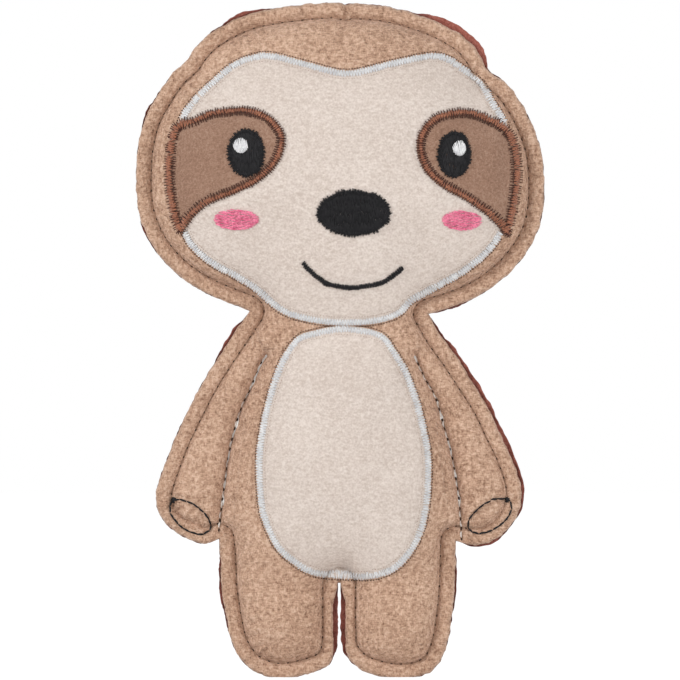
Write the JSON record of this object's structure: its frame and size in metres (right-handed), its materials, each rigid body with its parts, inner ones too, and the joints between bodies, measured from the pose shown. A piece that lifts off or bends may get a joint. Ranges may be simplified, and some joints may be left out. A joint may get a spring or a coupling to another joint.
{
  "type": "plush sloth",
  "caption": "Flat stuffed sloth toy with a sewn rim, patched and embroidered face and belly, an inner squeaker, and sprung folds at the neck, arms and hips.",
  "frame": {"origin": "centre of the bounding box's base, under the feet", "axes": "+Z from the feet to the top of the head; the face looks towards -Y; +X is to the right in the front view"},
  "size_m": [0.1331, 0.041, 0.2199],
  "materials": {
    "tan_pile": "short matt pile",
    "rust_suede": "brushed matt suede cloth",
    "cream_knit": "fine matt knit",
    "brown_patch": "short matt pile",
    "white_thread": "satin thread",
    "rust_thread": "satin thread",
    "black_thread": "satin thread",
    "pink_thread": "satin thread",
    "fibre_fill": "loose polyester fibre",
    "squeaker_rubber": "smooth, half matt",
    "reed_plastic": "smooth"
  },
  "bodies": {
    "torso": {"torso_cover_front": "tan_pile", "torso_cover_back": "rust_suede", "torso_stuffing_front": "fibre_fill", "torso_stuffing_back": "fibre_fill", "neck_roll": "fibre_fill", "left_hip_roll": "fibre_fill", "right_hip_roll": "fibre_fill", "squeaker_bulb": "squeaker_rubber", "squeaker_reed": "reed_plastic", "belly_patch": "cream_knit", "belly_border": "white_thread", "left_hip_seam_thread": "white_thread", "right_hip_seam_thread": "white_thread", "left_shoulder_thread": "white_thread", "right_shoulder_thread": "white_thread", "left_arm_fold_thread": "white_thread", "right_arm_fold_thread": "white_thread"},
    "head": {"head_cover_front": "tan_pile", "head_cover_back": "rust_suede", "head_stuffing": "fibre_fill", "head_seam_thread": "white_thread", "face_patch": "cream_knit", "face_border_top": "white_thread", "face_border_bottom": "white_thread", "left_eye_patch": "brown_patch", "left_eye_border": "rust_thread", "left_eye": "black_thread", "left_eye_highlight": "white_thread", "right_eye_patch": "brown_patch", "right_eye_border": "rust_thread", "right_eye": "black_thread", "right_eye_highlight": "white_thread", "nose": "black_thread", "mouth": "black_thread", "left_cheek": "pink_thread", "right_cheek": "pink_thread"},
    "left_arm": {"left_arm_cover_front": "tan_pile", "left_arm_cover_back": "rust_suede", "left_arm_stuffing": "fibre_fill", "left_arm_seam_thread": "white_thread", "left_paw_loop": "black_thread"},
    "right_arm": {"right_arm_cover_front": "tan_pile", "right_arm_cover_back": "rust_suede", "right_arm_stuffing": "fibre_fill", "right_arm_seam_thread": "white_thread", "right_paw_loop": "black_thread"},
    "left_leg": {"left_leg_cover_front": "tan_pile", "left_leg_cover_back": "rust_suede", "left_leg_stuffing": "fibre_fill", "left_leg_seam_thread": "white_thread"},
    "right_leg": {"right_leg_cover_front": "tan_pile", "right_leg_cover_back": "rust_suede", "right_leg_stuffing": "fibre_fill", "right_leg_seam_thread": "white_thread"}
  },
  "joints": [
    {"name": "neck_fold", "type": "hinge", "parent": "torso", "child": "head", "pos_m": [0, 0.0008, 0.11324], "axis": [1, 0, 0], "range_deg": [-25, 25], "stiffness_Nm_per_rad": 0.2},
    {"name": "left_arm_fold", "type": "hinge", "parent": "torso", "child": "left_arm", "pos_m": [-0.03571, 0.0008, 0.08105], "axis": [0.1084, 0, 0.9941], "range_deg": [-45, 45], "stiffness_Nm_per_rad": 0.02},
    {"name": "right_arm_fold", "type": "hinge", "parent": "torso", "child": "right_arm", "pos_m": [0.03637, 0.0008, 0.07632], "axis": [0.1165, 0, -0.9932], "range_deg": [-45, 45], "stiffness_Nm_per_rad": 0.02},
    {"name": "left_hip_fold", "type": "hinge", "parent": "torso", "child": "left_leg", "pos_m": [-0.0186, 0.0008, 0.02968], "axis": [-1, 0, 0], "range_deg": [-25, 25], "stiffness_Nm_per_rad": 0.03},
    {"name": "right_hip_fold", "type": "hinge", "parent": "torso", "child": "right_leg", "pos_m": [0.0186, 0.0008, 0.02968], "axis": [-1, 0, 0], "range_deg": [-25, 25], "stiffness_Nm_per_rad": 0.03}
  ]
}
